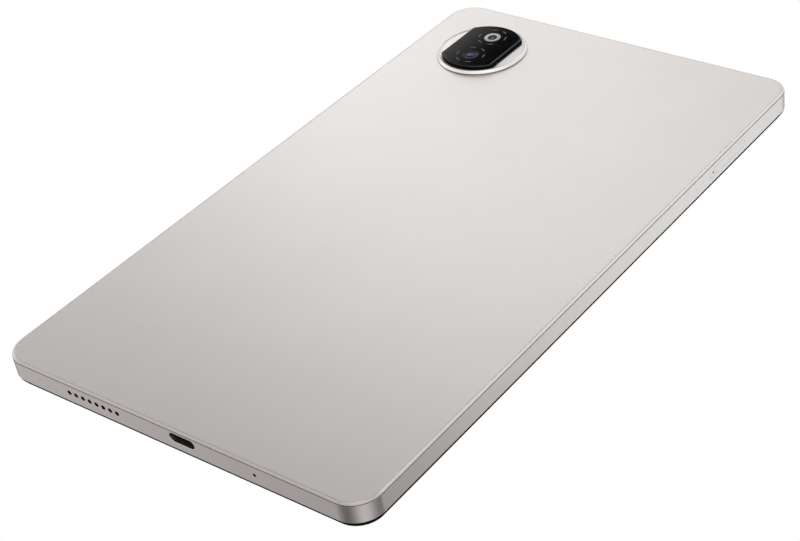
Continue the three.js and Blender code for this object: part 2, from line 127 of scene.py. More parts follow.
class Part:
    """Collects closed shells, in millimetres, into one mesh object in metres."""

    def __init__(self):
        self.bm = bmesh.new()

    def loft(self, rings, mats=None, mat=0):
        """Joins rings of equally many points; a ring of one point closes to a tip, and open ends are capped."""
        bm = self.bm
        rows = [[bm.verts.new((x * MM, y * MM, z * MM)) for x, y, z in ring] for ring in rings]
        faces = []
        for j in range(len(rows) - 1):
            a, b = rows[j], rows[j + 1]
            m = mats[j] if mats else mat
            n = max(len(a), len(b))
            for i in range(n):
                k = (i + 1) % n
                if len(a) == 1:
                    vs = (a[0], b[k], b[i])
                elif len(b) == 1:
                    vs = (a[i], a[k], b[0])
                else:
                    vs = (a[i], a[k], b[k], b[i])
                f = bm.faces.new(vs)
                f.material_index = m
                faces.append(f)
        for row, m in ((rows[0], mats[0] if mats else mat), (rows[-1], mats[-1] if mats else mat)):
            if len(row) > 2:
                f = bm.faces.new(row)
                f.material_index = m
                faces.append(f)
        bmesh.ops.recalc_face_normals(bm, faces=faces)
        return self

    def torus(self, rings, mat=0):
        """Closed loop of rings: the last joins the first."""
        bm = self.bm
        rows = [[bm.verts.new((x * MM, y * MM, z * MM)) for x, y, z in ring] for ring in rings]
        faces = []
        for j in range(len(rows)):
            a, b = rows[j], rows[(j + 1) % len(rows)]
            for i in range(len(a)):
                k = (i + 1) % len(a)
                f = bm.faces.new((a[i], a[k], b[k], b[i]))
                f.material_index = mat
                faces.append(f)
        bmesh.ops.recalc_face_normals(bm, faces=faces)
        return self

    def box(self, lo, hi, ease=0.0, mat=0):
        """Block with eased edges."""
        (x0, y0, z0), (x1, y1, z1) = lo, hi
        e = min(ease, (x1 - x0) / 2.1, (y1 - y0) / 2.1, (z1 - z0) / 2.1)
        if e <= 0:
            ring = [(x0, y0), (x1, y0), (x1, y1), (x0, y1)]
            return self.loft([at_z(ring, z0), at_z(ring, z1)], mat=mat)
        cx, cy, hx, hy = (x0 + x1) / 2, (y0 + y1) / 2, (x1 - x0) / 2, (y1 - y0) / 2
        rings = []
        for a in (90, 45, 0):
            c, s = math.cos(math.radians(a)), math.sin(math.radians(a))
            rings.append(at_z(rrect(hx - e + e * c, hy - e + e * c, max(e * (0.35 + c), 0.02 * e), 3, cx, cy), z0 + e - e * s))
        for a in (0, 45, 90):
            c, s = math.cos(math.radians(a)), math.sin(math.radians(a))
            rings.append(at_z(rrect(hx - e + e * c, hy - e + e * c, max(e * (0.35 + c), 0.02 * e), 3, cx, cy), z1 - e + e * s))
        return self.loft(rings, mat=mat)

    def lathe(self, profile, cx, cy, n=96, mats=None, mat=0):
        """Turned solid about a vertical axis; profile is (radius, z) from axis to axis."""
        rings = [[(cx, cy, z)] if r == 0 else at_z(circle(r, n), z, cx, cy) for r, z in profile]
        return self.loft(rings, mats=mats, mat=mat)

    def tube(self, profile, cx, cy, n=96, mat=0):
        """Turned ring whose (radius, z) profile closes on itself."""
        return self.torus([at_z(circle(r, n), z, cx, cy) for r, z in profile], mat)

    def object(self, name):
        me = bpy.data.meshes.new(name)
        for m in SLOTS:
            me.materials.append(m)
        self.bm.to_mesh(me)
        self.bm.free()
        ob = bpy.data.objects.new(name, me)
        bpy.context.scene.collection.objects.link(ob)
        return ob


def boolean(ob, tool, op):
    m = ob.modifiers.new("b", "BOOLEAN")
    m.operation, m.object, m.solver, m.material_mode = op, tool, "EXACT", "INDEX"
    graph = bpy.context.evaluated_depsgraph_get()
    made = bpy.data.meshes.new_from_object(ob.evaluated_get(graph))
    ob.modifiers.clear()
    old = ob.data
    name = old.name
    ob.data = made
    bpy.data.meshes.remove(old)
    made.name = name
    for poly in made.polygons:
        if poly.material_index < 0:
            poly.material_index = 0
    bpy.data.objects.remove(tool)
    return ob


def smooth(ob, angle=28.0, weighted=True):
    for poly in ob.data.polygons:
        poly.use_smooth = True
    ob.data.set_sharp_from_angle(angle=math.radians(angle))
    if weighted:
        m = ob.modifiers.new("normals", "WEIGHTED_NORMAL")
        m.keep_sharp = True
        m.weight = 60
    return ob


def place(ob, body, mats, nodes=(), angle=28.0):
    """Gives a piece its materials and body, smooths it, and hides the CAD nodes it stands for."""
    index = [poly.material_index for poly in ob.data.polygons]
    ob.data.materials.clear()
    for m in mats:
        ob.data.materials.append(m)
    for poly, i in zip(ob.data.polygons, index):
        poly.material_index = min(i, len(mats) - 1)
    smooth(ob, angle)
    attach(ob, body)
    if nodes:
        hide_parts(*nodes)
    return ob


# ------------------------------------------------------------------ materials
class Mat:
    """Principled material with procedural tone, roughness and relief, in object space."""

    def __init__(self, name, base, metallic=0.0, rough=0.5, spec=0.5, ior=1.5, coat=0.0, coat_rough=0.03):
        self.m = bpy.data.materials.new(name)
        self.m.use_nodes = True
        self.t = self.m.node_tree
        self.p = self.t.nodes["Principled BSDF"]
        self.p.inputs["Base Color"].default_value = (*base, 1)
        self.p.inputs["Metallic"].default_value = metallic
        self.p.inputs["Roughness"].default_value = rough
        self.p.inputs["Specular IOR Level"].default_value = spec
        self.p.inputs["IOR"].default_value = ior
        self.p.inputs["Coat Weight"].default_value = coat
        self.p.inputs["Coat Roughness"].default_value = coat_rough
        self.base = base
        self.co = self.t.nodes.new("ShaderNodeTexCoord").outputs["Object"]
        self.normal = None

    def node(self, kind, **sockets):
        n = self.t.nodes.new(kind)
        for k, v in sockets.items():
            n.inputs[k.replace("_", " ")].default_value = v
        return n

    def link(self, a, b):
        self.t.links.new(a, b)

    def math(self, op, a, b=None, c=None, clamp=False):
        n = self.t.nodes.new("ShaderNodeMath")
        n.operation, n.use_clamp = op, clamp
        for i, v in enumerate((a, b, c)):
            if v is None:
                continue
            if isinstance(v, (int, float)):
                n.inputs[i].default_value = v
            else:
                self.link(v, n.inputs[i])
        return n.outputs[0]

    def xyz(self):
        n = self.t.nodes.new("ShaderNodeSeparateXYZ")
        self.link(self.co, n.inputs[0])
        return n.outputs

    def stretched(self, scale):
        n = self.t.nodes.new("ShaderNodeMapping")
        n.inputs["Scale"].default_value = scale
        self.link(self.co, n.inputs["Vector"])
        return n.outputs["Vector"]

    def noise(self, scale, detail=2.0, co=None, rough=0.5):
        n = self.node("ShaderNodeTexNoise", Scale=scale, Detail=detail, Roughness=rough)
        self.link(co or self.co, n.inputs["Vector"])
        return n.outputs["Fac"]

    def span(self, value, lo, hi, to_lo, to_hi):
        n = self.t.nodes.new("ShaderNodeMapRange")
        for k, v in (("From Min", lo), ("From Max", hi), ("To Min", to_lo), ("To Max", to_hi)):
            n.inputs[k].default_value = v
        self.link(value, n.inputs["Value"])
        return n.outputs["Result"]

    def ramp(self, value, stops):
        n = self.t.nodes.new("ShaderNodeValToRGB")
        el = n.color_ramp.elements
        while len(el) > 1:
            el.remove(el[-1])
        el[0].position, el[0].color = stops[0][0], (*stops[0][1], 1)
        for pos, col in stops[1:]:
            el.new(pos).color = (*col, 1)
        self.link(value, n.inputs["Fac"])
        return n.outputs["Color"]

    def color(self, out):
        self.link(out, self.p.inputs["Base Color"])
        return self

    def tone(self, scale, spread=0.03, detail=3.0):
        """Slight unevenness of the base colour."""
        lo = tuple(max(0, c * (1 - spread)) for c in self.base)
        hi = tuple(min(1, c * (1 + spread)) for c in self.base)
        return self.color(self.ramp(self.noise(scale, detail), [(0.35, lo), (0.65, hi)]))

    def grain(self, scale, lo, hi, detail=2.0, co=None):
        self.link(self.span(self.noise(scale, detail, co), 0.3, 0.7, lo, hi), self.p.inputs["Roughness"])
        return self

    def relief(self, value, height, strength=1.0):
        """Height in millimetres; more than one relief stacks up."""
        n = self.node("ShaderNodeBump", Strength=strength, Distance=height * MM)
        self.link(value, n.inputs["Height"])
        if self.normal:
            self.link(self.normal, n.inputs["Normal"])
        self.normal = n.outputs["Normal"]
        self.link(self.normal, self.p.inputs["Normal"])
        return self

    def circle_mask(self, cx, cy, r, edge=0.05):
        """1 inside a circle of radius r millimetres on the XY plane."""
        x, y, _ = self.xyz()
        dx = self.math("SUBTRACT", x, cx * MM)
        dy = self.math("SUBTRACT", y, cy * MM)
        d = self.math("SQRT", self.math("ADD", self.math("MULTIPLY", dx, dx), self.math("MULTIPLY", dy, dy)))
        return self.span(d, (r - edge) * MM, (r + edge) * MM, 1.0, 0.0)


def metals():
    out = {}
    m = Mat("anodised_metal", (0.812, 0.754, 0.727), 1.0, 0.38)
    m.tone(60, 0.008).grain(2600, 0.355, 0.405, 3).relief(m.noise(5200, 2), 0.003, 0.2)
    out["metal"] = m.m
    # Darker metal for the edge groove, the lowest band of the camera ring and the lower inside wall of the port mouth:
    # painted shade.
    m = Mat("edge_groove_metal", (0.15, 0.141, 0.136), 1.0, 0.5)
    m.tone(900, 0.1).grain(2600, 0.45, 0.58)
    out["groove"] = m.m
    # Near-black metal for the inside walls of holes, slots and the port socket's lip: painted shade.
    m = Mat("bore_metal", (0.035, 0.033, 0.032), 1.0, 0.6)
    m.tone(900, 0.2).grain(2600, 0.5, 0.7)
    out["bore"] = m.m
    m = Mat("key_metal", (0.77, 0.725, 0.70), 1.0, 0.36)
    m.tone(200, 0.012).grain(3000, 0.31, 0.37, 3).relief(m.noise(6200, 2), 0.003, 0.3)
    out["key"] = m.m
    m = Mat("polished_ring_metal", (0.93, 0.885, 0.862), 1.0, 0.26)
    m.tone(300, 0.01)
    rad = m.stretched((1, 1, 6))
    m.grain(2400, 0.23, 0.29, 3, rad).relief(m.noise(7000, 1), 0.0015, 0.25)
    out["ring"] = m.m
    m = Mat("brushed_ring_face", (0.80, 0.748, 0.718), 1.0, 0.38)
    x, y, _ = m.xyz()
    dx, dy = m.math("SUBTRACT", x, CAM_X * MM), m.math("SUBTRACT", y, CAM_Y * MM)
    r = m.math("SQRT", m.math("ADD", m.math("MULTIPLY", dx, dx), m.math("MULTIPLY", dy, dy)))
    turn = m.t.nodes.new("ShaderNodeTexNoise")
    turn.noise_dimensions = "1D"
    turn.inputs["Scale"].default_value = 9000
    turn.inputs["Detail"].default_value = 2
    m.link(r, turn.inputs["W"])
    m.tone(300, 0.012)
    m.link(m.span(turn.outputs["Fac"], 0.3, 0.7, 0.35, 0.42), m.p.inputs["Roughness"])
    m.relief(turn.outputs["Fac"], 0.002, 0.3)
    out["face"] = m.m
    m = Mat("stamped_steel", (0.56, 0.56, 0.565), 1.0, 0.36)
    m.tone(700, 0.05).grain(1500, 0.3, 0.46, 3, m.stretched((1, 12, 12))).relief(m.noise(900, 3), 0.01, 0.25)
    out["steel"] = m.m
    m = Mat("socket_steel", (0.50, 0.49, 0.475), 1.0, 0.33)
    m.tone(900, 0.05).grain(2200, 0.27, 0.42, 3, m.stretched((8, 1, 8))).relief(m.noise(2600, 2), 0.004, 0.3)
    out["socket"] = m.m
    m = Mat("gold_contacts", (0.83, 0.60, 0.28), 1.0, 0.28)
    m.tone(2500, 0.05).grain(4000, 0.22, 0.36)
    out["gold"] = m.m
    return out


def plastics():
    out = {}
    m = Mat("black_plastic", (0.010, 0.010, 0.011), 0.0, 0.55, 0.25)
    m.tone(900, 0.12).grain(3200, 0.44, 0.58, 3).relief(m.noise(5200, 3), 0.008, 0.4)
    out["plastic"] = m.m
    m = Mat("gloss_edge_black", (0.0015, 0.0015, 0.002), 0.0, 0.5, 0.04)
    m.tone(900, 0.15).grain(4000, 0.44, 0.58)
    out["wall"] = m.m
    # printed glass of the camera window
    m = Mat("camera_window_glass", (0.0025, 0.0025, 0.003), 0.0, 0.045, 0.5, 1.5)
    m.tone(240, 0.2).grain(900, 0.035, 0.06, 2).relief(m.noise(240, 1), 0.0006, 0.25)
    out["window"] = m.m
    # Grey metal for the ridges round the camera windows, which stand in for glints: painted highlights.
    m = Mat("window_trim", (0.10, 0.10, 0.105), 1.0, 0.34)
    m.tone(1500, 0.1).grain(3000, 0.3, 0.4)
    out["trim"] = m.m
    m = Mat("lens_baffle", (0.020, 0.017, 0.014), 0.0, 0.42, 0.15)
    m.tone(3000, 0.12).grain(5000, 0.38, 0.48)
    x, y, _ = m.xyz()
    dx, dy = m.math("SUBTRACT", x, CAM_X * MM), m.math("SUBTRACT", y, LENS_Y * MM)
    r = m.math("SQRT", m.math("ADD", m.math("MULTIPLY", dx, dx), m.math("MULTIPLY", dy, dy)))
    m.relief(m.math("SINE", m.math("MULTIPLY", r, 42000.0)), 0.01, 0.4)
    out["baffle"] = m.m
    m = Mat("coated_lens_glass", (0.004, 0.006, 0.05), 0.25, 0.14, 0.3, 1.45, 0.0, 0.05)
    x, y, _ = m.xyz()
    m.color(m.ramp(m.span(m.noise(420, 1), 0.3, 0.7, 0, 1), [(0.0, (0.002, 0.003, 0.02)), (0.55, (0.005, 0.008, 0.075)), (1.0, (0.012, 0.018, 0.15))]))
    m.grain(1200, 0.07, 0.13)
    out["lens"] = m.m
    m = Mat("flash_plastic", (0.60, 0.595, 0.57), 0.0, 0.2, 0.5, 1.5, 0.3, 0.05)
    m.tone(900, 0.03).grain(1800, 0.12, 0.22)
    out["flash"] = m.m
    m = Mat("flash_phosphor", (0.20, 0.16, 0.05), 0.0, 0.5)
    m.tone(6000, 0.12).grain(5000, 0.42, 0.6).relief(m.noise(9000, 2), 0.01, 0.4)
    out["phosphor"] = m.m
    # outer glass over the screen: printed border, display area and the small front camera window
    m = Mat("screen_glass", (0.0035, 0.0035, 0.004), 0.0, 0.05, 0.5, 1.52)
    x, y, _ = m.xyz()
    ax = m.math("ABSOLUTE", x)
    ay = m.math("ABSOLUTE", y)
    inside = m.math("MULTIPLY", m.span(ax, 0.0576, 0.0578, 1, 0), m.span(ay, 0.0958, 0.0960, 1, 0))
    wells = m.noise(1500, 2)
    area = m.ramp(m.math("MULTIPLY", inside, m.span(wells, 0.3, 0.7, 0.9, 1.0)), [(0.0, (0.0030, 0.0030, 0.0032)), (1.0, (0.0075, 0.0078, 0.0090))])
    mix = m.t.nodes.new("ShaderNodeMix")
    mix.data_type = "RGBA"
    m.link(m.circle_mask(0, 100.2, 1.25), mix.inputs[0])
    m.link(area, mix.inputs[6])
    mix.inputs[7].default_value = (0.006, 0.010, 0.045, 1)
    m.color(mix.outputs[2])
    m.grain(500, 0.04, 0.065)
    out["screen"] = m.m
    m = Mat("acoustic_mesh", (0.02, 0.02, 0.02), 0.4, 0.7)
    x, y, z = m.xyz()
    weave = m.math("MULTIPLY", m.math("SINE", m.math("MULTIPLY", x, 31400.0)), m.math("SINE", m.math("MULTIPLY", z, 31400.0)))
    m.color(m.ramp(m.span(weave, -1, 1, 0, 1), [(0.3, (0.004, 0.004, 0.004)), (0.75, (0.035, 0.035, 0.034))]))
    m.grain(3000, 0.6, 0.8).relief(weave, 0.03, 0.8)
    out["mesh"] = m.m
    return out


def inner_materials():
    out = {}
    m = Mat("circuit_board", (0.010, 0.055, 0.032), 0.05, 0.42)
    bricks = m.t.nodes.new("ShaderNodeTexBrick")
    for k, v in (("Scale", 700.0), ("Mortar Size", 0.035), ("Brick Width", 0.7), ("Row Height", 0.22)):
        bricks.inputs[k].default_value = v
    bricks.inputs["Color1"].default_value = (0.009, 0.050, 0.030, 1)
    bricks.inputs["Color2"].default_value = (0.012, 0.066, 0.038, 1)
    bricks.inputs["Mortar"].default_value = (0.035, 0.13, 0.075, 1)
    m.link(m.co, bricks.inputs["Vector"])
    m.color(bricks.outputs["Color"])
    m.grain(1600, 0.36, 0.5).relief(bricks.outputs["Fac"], 0.02, 0.3)
    out["circuit_board"] = m.m
    m = Mat("flex_circuit", (0.36, 0.17, 0.035), 0.0, 0.4)
    wave = m.t.nodes.new("ShaderNodeTexWave")
    wave.inputs["Scale"].default_value = 420
    wave.inputs["Distortion"].default_value = 0.6
    m.link(m.co, wave.inputs["Vector"])
    m.color(m.ramp(wave.outputs["Fac"], [(0.35, (0.30, 0.135, 0.028)), (0.6, (0.46, 0.23, 0.05))]))
    m.grain(1200, 0.32, 0.48).relief(wave.outputs["Fac"], 0.01, 0.3)
    out["flex_circuit"] = m.m
    m = Mat("chip_black", (0.018, 0.018, 0.019), 0.0, 0.6)
    m.tone(1500, 0.15).grain(4200, 0.52, 0.68, 3).relief(m.noise(6000, 3), 0.01, 0.5)
    out["chip_black"] = m.m
    m = Mat("battery_pouch", (0.10, 0.10, 0.105), 0.35, 0.4)
    m.tone(120, 0.2).grain(300, 0.32, 0.5, 4).relief(m.noise(160, 4), 0.12, 0.35)
    m.relief(m.noise(2400, 2), 0.01, 0.3)
    out["battery_pouch"] = m.m
    m = Mat("backlight_white", (0.74, 0.74, 0.73), 0.0, 0.5)
    m.tone(90, 0.03).grain(900, 0.42, 0.58).relief(m.noise(2600, 2), 0.006, 0.3)
    out["backlight_white"] = m.m
    return out


M, P, I = metals(), plastics(), inner_materials()


# ------------------------------------------------------------------ rear housing
def outline(e, z):
    r = max(CORNER_R - e, 0.4)
    return at_z(rrect(BODY_W / 2 - e, BODY_L / 2 - e, r, 28), z)


def housing():
    path = [  # (inset, z); the groove faces take the darker metal below
        (WALL + 0.5, ROOF), (WALL + 0.14, ROOF - 0.14), (WALL, ROOF - 0.5),
        (WALL, LIP + 0.12), (WALL - 0.1, LIP),
        (0.14, LIP), (0.03, LIP + 0.02), (0.0, LIP + 0.08),
        (0.0, 7.28), (0.006, 7.33), (0.015, 7.36),
        (0.08, 7.38), (0.115, 7.47), (0.115, 7.565),
        (0.07, 7.575), (0.07, 7.59), (0.10, 7.605), (0.17, 7.624),
        (0.80, 7.893), (0.83, 7.890), (0.88, 7.915), (0.93, 7.955), (1.0, 7.984), (1.09, BODY_T),
    ]
    mats = [0] * (len(path) - 1)
    # The faces of the shallow edge groove and of the small dip on the bevel take the darker metal: painted shade in a
    # real groove and dip.
    for j in (10, 11, 12, 18, 19):
        mats[j] = 1
    ob = Part().loft([outline(e, z) for e, z in path], mats=mats).object("rear_housing_shell")
    bosses = Part()
    for x, y in SCREWS:
        bosses.lathe([(0, 6.98), (2.05, 6.98), (2.2, 7.1), (2.2, 7.5), (0, 7.5)], x, y, 32)
    for x, y in PORT_SCREWS:
        bosses.lathe([(0, 3.9), (1.78, 3.9), (1.9, 4.02), (1.9, 7.5), (0, 7.5)], x, y, 32)
    boolean(ob, bosses.object("t1"), "UNION")
    cut = Part()
    for x, y in SCREWS + PORT_SCREWS:
        cut.lathe([(0, 3.0), (0.85, 3.0), (0.85, 7.35), (0, 7.45)], x, y, 20)
    for i in range(8):
        for x0, s in ((-36.23, -1), (18.7, 1)):
            flared(cut, circle(1.0, 28), 0.72, x0 + i * 2.504, 5.0, s * BODY_L / 2, -s, 2.6)
    flared(cut, circle(1.0, 24), 0.50, 28.47, 4.74, -BODY_L / 2, 1, 2.6)
    flared(cut, circle(1.0, 24), 0.4, -6.0, 4.74, BODY_L / 2, -1, 2.6)
    y0 = -BODY_L / 2
    cut.loft([at_y(pill(8.6 + 2 * g, 2.7 + 2 * g, 16), y, USB_X, USB_Z) for g, y in ((0.42, y0 - 0.32), (0.10, y0), (0.04, y0 + 0.05), (0.0, y0 + 0.14), (0.0, y0 + 2.6))])
    x1 = BODY_W / 2
    cut.loft([at_x(pill(20.5 + 2 * g, 2.5 + 2 * g, 14), x, TRAY_Y, TRAY_Z) for g, x in ((0.02, x1 + 0.25), (0.012, x1), (0.0, x1 - 0.03), (0.0, x1 - 3))])
    for y, w in ((POWER_Y, POWER_LEN), (VOL_Y, VOL_LEN + 0.4)):
        cut.loft([at_x(pill(w + 2 * g, KEY_H + 0.3 + 2 * g, 14), x, y, KEY_Z) for g, x in ((0.4, -x1 - 0.3), (0.10, -x1), (0.02, -x1 + 0.06), (0.0, -x1 + 0.14), (0.0, -x1 + 3))])
    cut.lathe([(0, 6.2), (12.6, 6.2), (12.6, 9.0), (0, 9.0)], CAM_X, CAM_Y, 96)
    boolean(ob, cut.object("t2"), "DIFFERENCE")
    # Inside walls of the side holes and slots take the near-black metal, and the lower inside wall of the port mouth
    # the darker metal: painted shade in these hollows.
    for poly in ob.data.polygons:
        x, y, z = (c / MM for c in poly.center)
        deep_y, deep_x = BODY_L / 2 - abs(y), BODY_W / 2 - abs(x)
        if 0.04 < deep_y < WALL - 0.02 and abs(x) < 50 and 3.0 < z < 7.05:
            wide = 0.15 if abs(x - USB_X) < 4.6 and y < 0 else 0.04
            if deep_y > wide:
                poly.material_index = 2
            # lower inside wall of the port mouth: painted shade in the darker metal
            if wide > 0.1 and z < USB_Z - 0.3:
                poly.material_index = 1 if deep_y > wide else 0
        if 0.07 < deep_x < WALL - 0.02 and abs(y) < 90 and 3.0 < z < 7.05:
            poly.material_index = 2
    return place(ob, "tablet", [M["metal"], M["groove"], M["bore"]], ["rear_housing"], 24)


def flared(part, unit, r, cx, cz, face, inward, depth):
    """Drilled hole through a wall across Y, with a small eased mouth."""
    rings = []
    for g, d in ((0.30, -0.3), (0.05, 0.0), (0.01, 0.03), (0.0, 0.08), (0.0, depth)):
        rings.append(at_y([(x * (r + g), z * (r + g)) for x, z in unit], face + inward * d, cx, cz))
    part.loft(rings)


housing()


# ------------------------------------------------------------------ camera ring and plate
def camera_ring():
    n = 192
    profile = [
        (0, 7.25), (12.15, 7.25), (12.3, 7.4), (12.3, 8.01), (14.70, 8.01),
        (14.78, 8.04), (14.8, 8.10), (14.8, 8.20), (14.77, 8.30), (14.72, 8.38), (14.26, 8.98), (14.20, 9.04),
        (14.12, 9.08), (14.04, 9.1), (13.96, 9.09), (13.88, 9.06),
        (13.66, 8.955), (13.58, 8.935), (13.3, 8.94), (12.6, 8.985), (12.0, 9.018), (11.5, 9.04), (11.0, 9.057), (10.5, 9.07), (10.0, 9.077), (9.4, 9.08), (8.6, 9.08), (0, 9.08),
    ]
    mats = [0] * 13 + [1] * 14
    # The lowest band of the ring's outer wall takes the darker metal: painted shade under the ring.
    mats[4:7] = [2, 2, 2]
    ob = Part().lathe(profile, CAM_X, CAM_Y, n, mats=mats).object("camera_ring_body")
    cut = Part()
    cut.loft([at_z(plate_outline(-0.07 - g), z, CAM_X, CAM_Y) for g, z in ((0, 8.3), (0, 8.84), (0.03, 8.89), (0.03, 9.4))])
    boolean(ob, cut.object("t3"), "DIFFERENCE")
    # a low straight step beside each flat of the plate
    cut = Part()
    for s in (-1, 1):
        near, far = CAM_X + s * (PLATE_HALF + 0.02), CAM_X + s * (PLATE_HALF + 0.85)
        ring = [(near, CAM_Y - 8.95), (far, CAM_Y - 7.95), (far, CAM_Y + 7.95), (near, CAM_Y + 8.95)]
        cut.loft([at_z(ring, 8.90), at_z(ring, 9.6)])
    boolean(ob, cut.object("t4"), "DIFFERENCE")
    cut = Part()
    cut.lathe([(0, 5), (4.4, 5), (4.4, 8.6), (0, 8.6)], CAM_X, LENS_Y, 64)
    cut.lathe([(0, 5), (3.1, 5), (3.1, 8.6), (0, 8.6)], CAM_X, FLASH_Y, 64)
    boolean(ob, cut.object("t5"), "DIFFERENCE")
    return place(ob, "tablet", [M["ring"], M["face"], M["groove"]], ["camera_ring"], 24)


def glint_arcs(part, cx, cy, r, z, mat):
    """Six low ridges in two groups of three around a window, in a grey metal that stands in for glints: painted
    highlights.
    """
    for mid in (12, 63, 115, 190, 244, 296):
        steps, half, rings = 14, 15.0, []
        for j in range(steps + 1):
            u = -1 + 2 * j / steps
            w = 0.27 * math.sqrt(max(1 - u * u, 0)) ** 0.9 + 0.004
            a = math.radians(mid + half * u)
            c, s = math.cos(a), math.sin(a)
            ring = []
            for k in range(8):
                b = 2 * math.pi * k / 8
                rr, zz = r + w * math.cos(b), z + 0.05 * (w / 0.27) * math.sin(b)
                ring.append((cx + rr * c, cy + rr * s, zz))
            rings.append(ring)
        part.loft(rings, mat=mat)


def camera_plate():
    # black wall under the glass
    wall = Part()
    wall.loft([at_z(plate_outline(e), z, CAM_X, CAM_Y) for e, z in ((0.12, 8.32), (0.02, 8.42), (0.0, 8.6), (0.0, 9.5), (0.04, 9.58))])
    ob = wall.object("camera_plate_wall")
    cut = Part()
    cut.lathe([(0, 5), (3.7, 5), (3.7, 12), (0, 12)], CAM_X, LENS_Y, 64)
    cut.lathe([(0, 5), (3.0, 5), (3.0, 12), (0, 12)], CAM_X, FLASH_Y, 64)
    boolean(ob, cut.object("t6"), "DIFFERENCE")
    place(ob, "tablet", [P["wall"]], ["camera_bezel"])
    # glass, with its polished bevel, the lens seat and the flash seat sunk in it
    top = PLATE_TOP
    glass = Part().loft([at_z(plate_outline(e), z, CAM_X, CAM_Y) for e, z in (
        (0.06, 9.6), (0.0, 9.65), (0.0, 9.82), (0.06, 9.90), (0.28, 10.04), (0.35, 10.075), (0.46, top))], mats=[1, 1, 1, 0, 0, 0])
    ob = glass.object("camera_plate_glass")
    cut = Part()
    cut.lathe([(0, 9.72), (2.62, 9.72), (2.62, top - 0.05), (2.75, top + 0.05), (0, top + 0.05)], CAM_X, LENS_Y, 96)
    cut.lathe([(0, 9.72), (2.72, 9.72), (2.72, top - 0.05), (2.84, top + 0.05), (0, top + 0.05)], CAM_X, FLASH_Y, 96)
    boolean(ob, cut.object("t7"), "DIFFERENCE")
    place(ob, "tablet", [P["window"], P["wall"]], ["camera_glass"], 22)
    # lens seat: stepped baffle and the domed window in front of the moving lens
    seat = Part()
    seat.lathe([(0, 9.74), (2.58, 9.74), (2.58, 10.03), (2.48, 10.06), (2.36, 10.05), (2.28, 10.0), (2.10, 9.985), (2.02, 9.95),
                (1.78, 9.94), (1.70, 9.905), (1.46, 9.9), (1.38, 9.86), (0, 9.86)], CAM_X, LENS_Y, 96)
    ob = seat.object("camera_lens_baffle")
    place(ob, "tablet", [P["baffle"]])
    dome = Part()
    dome.lathe([(0, 9.87), (1.34, 9.87), (1.34, 9.90)] + [(1.32 * math.cos(a), 9.90 + 0.14 * math.sin(a)) for a in [math.radians(d) for d in (8, 20, 32, 44, 56, 68, 80)]] + [(0, 10.04)], CAM_X, LENS_Y, 96)
    ob = dome.object("camera_lens_dome")
    place(ob, "tablet", [P["lens"]])
    # flash seat: prismatic ring lens with fine concentric steps round a small phosphor square
    prof = [(0, 9.74), (2.66, 9.74), (2.66, 10.0), (2.6, 10.04)]
    mats = [0] * 3
    r = 2.56
    while r > 1.7:
        prof += [(r, 10.055), (r - 0.13, 9.965)]
        mats += [0, 0]
        r -= 0.145
    prof += [(r - 0.04, 10.03), (r - 0.12, 9.99), (r - 0.2, 9.86), (0.9, 9.82), (0, 9.82)]
    mats += [0, 0, 1, 1, 1]
    ob = Part().lathe(prof, CAM_X, FLASH_Y, 96, mats=mats).object("camera_flash_lens")
    place(ob, "tablet", [P["flash"], P["baffle"]], angle=10)
    sq = Part().box((CAM_X - 0.42, FLASH_Y - 0.42, 9.80), (CAM_X + 0.42, FLASH_Y + 0.42, 9.90), 0.05)
    place(sq.object("camera_flash_phosphor"), "tablet", [P["phosphor"]])
    # Glint ridges round both windows: painted highlights in grey metal.
    trim = Part()
    for y in (LENS_Y, FLASH_Y):
        glint_arcs(trim, CAM_X, y, 4.6, top - 0.02, 0)
    place(trim.object("camera_window_glints"), "tablet", [P["trim"]], angle=60)


camera_ring()
camera_plate()


# ------------------------------------------------------------------ screen side
def screen_side():
    rings = []
    for a in (90, 72, 54, 36, 18, 0):
        c, s = math.cos(math.radians(a)), math.sin(math.radians(a))
        e = GLASS_INSET - 0.05 + 0.36 * (1 - c)
        rings.append(at_z(rrect(BODY_W / 2 - e, BODY_L / 2 - e, CORNER_R - e, 24), 0.36 * (1 - s)))
    for e, z in ((GLASS_INSET - 0.05, GLASS_T - 0.06), (GLASS_INSET, GLASS_T)):
        rings.append(at_z(rrect(BODY_W / 2 - e, BODY_L / 2 - e, CORNER_R - e, 24), z))
    mats = [1] * (len(rings) - 1)
    mats[0] = 0
    glass = Part().loft(rings, mats=mats).object("screen_cover_glass")
    place(glass, "tablet", [P["screen"], P["wall"]], ["cover_glass"])
    prof = [
        (RIM_INNER, 1.11), (0.40, 1.11), (0.28, 1.15), (0.22, 1.24), (0.22, 1.82), (0.26, LIP - 0.02),
        (1.9, LIP - 0.02), (1.9, 2.52), (1.98, 2.6), (RIM_INNER, 2.6),
    ]
    rings = [at_z(rrect(BODY_W / 2 - e, BODY_L / 2 - e, CORNER_R - e, 24), z) for e, z in prof]
    place(Part().torus(rings).object("display_rim_frame"), "tablet", [P["wall"]], ["display_frame"])


screen_side()


